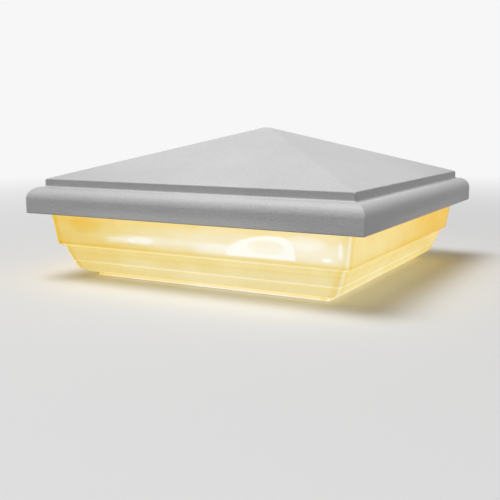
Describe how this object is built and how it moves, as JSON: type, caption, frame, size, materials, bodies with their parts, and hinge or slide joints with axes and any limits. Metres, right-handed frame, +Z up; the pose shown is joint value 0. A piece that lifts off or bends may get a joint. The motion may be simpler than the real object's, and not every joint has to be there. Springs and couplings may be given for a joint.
{
  "type": "deck post cap light",
  "caption": "Square deck post cap light: a hollow pyramid roof over a translucent moulded skirt that glows, on a base plate with an LED core.",
  "frame": {"origin": "centre of the post's end face, which the foam ring under the base plate lies on", "axes": "+Z up along the post, -Y towards the front, +X to the right"},
  "size_m": [0.15, 0.15, 0.0635],
  "materials": {
    "roof_coat": "light grey powder coat with a fine grain",
    "lens_acrylic": "glossy translucent acrylic",
    "foam": "closed-cell foam",
    "grommet_rubber": "moulded rubber",
    "aluminium": "brushed, bare",
    "screw_steel": "zinc plated",
    "spring_steel": "tempered strip",
    "board_white": "white solder mask",
    "led_phosphor": "silicone over phosphor",
    "wire_red": "PVC insulation",
    "wire_black": "PVC insulation",
    "board_green": "green solder mask",
    "terminal_green": "moulded nylon",
    "can_aluminium": "drawn can",
    "ferrite": "sintered ferrite",
    "chip_black": "moulded epoxy",
    "reflector_white": "white enamel"
  },
  "bodies": {
    "base": {"post_gasket": "foam", "base_plate": "aluminium", "cable_grommet": "grommet_rubber", "light_core": "aluminium", "core_screws": "screw_steel", "led_board_front": "board_white", "led_board_right": "board_white", "led_board_back": "board_white", "led_board_left": "board_white", "leds_front": "led_phosphor", "leds_right": "led_phosphor", "leds_back": "led_phosphor", "leds_left": "led_phosphor", "led_board_screws": "screw_steel", "jumper_wires_plus": "wire_red", "jumper_wires_minus": "wire_black", "driver_board": "board_green", "driver_standoffs": "aluminium", "driver_screws": "screw_steel", "terminal_block": "terminal_green", "terminal_screws": "screw_steel", "capacitor": "can_aluminium", "inductor": "ferrite", "bridge_rectifier": "chip_black", "driver_ic": "chip_black", "feed_wire_plus": "wire_red", "feed_wire_minus": "wire_black", "roof_clip_left": "spring_steel", "roof_clip_right": "spring_steel", "clip_screws": "screw_steel"},
    "skirt": {"lens": "lens_acrylic"},
    "cover": {"roof": "roof_coat", "roof_gasket": "foam", "reflector": "reflector_white", "reflector_screws": "screw_steel"}
  },
  "joints": [
    {"name": "lens_lift", "type": "slide", "parent": "base", "child": "skirt", "axis": [0, 0, 1], "range_m": [0, 0.06]},
    {"name": "roof_lift", "type": "slide", "parent": "skirt", "child": "cover", "axis": [0, 0, 1], "range_m": [0, 0.06]}
  ]
}
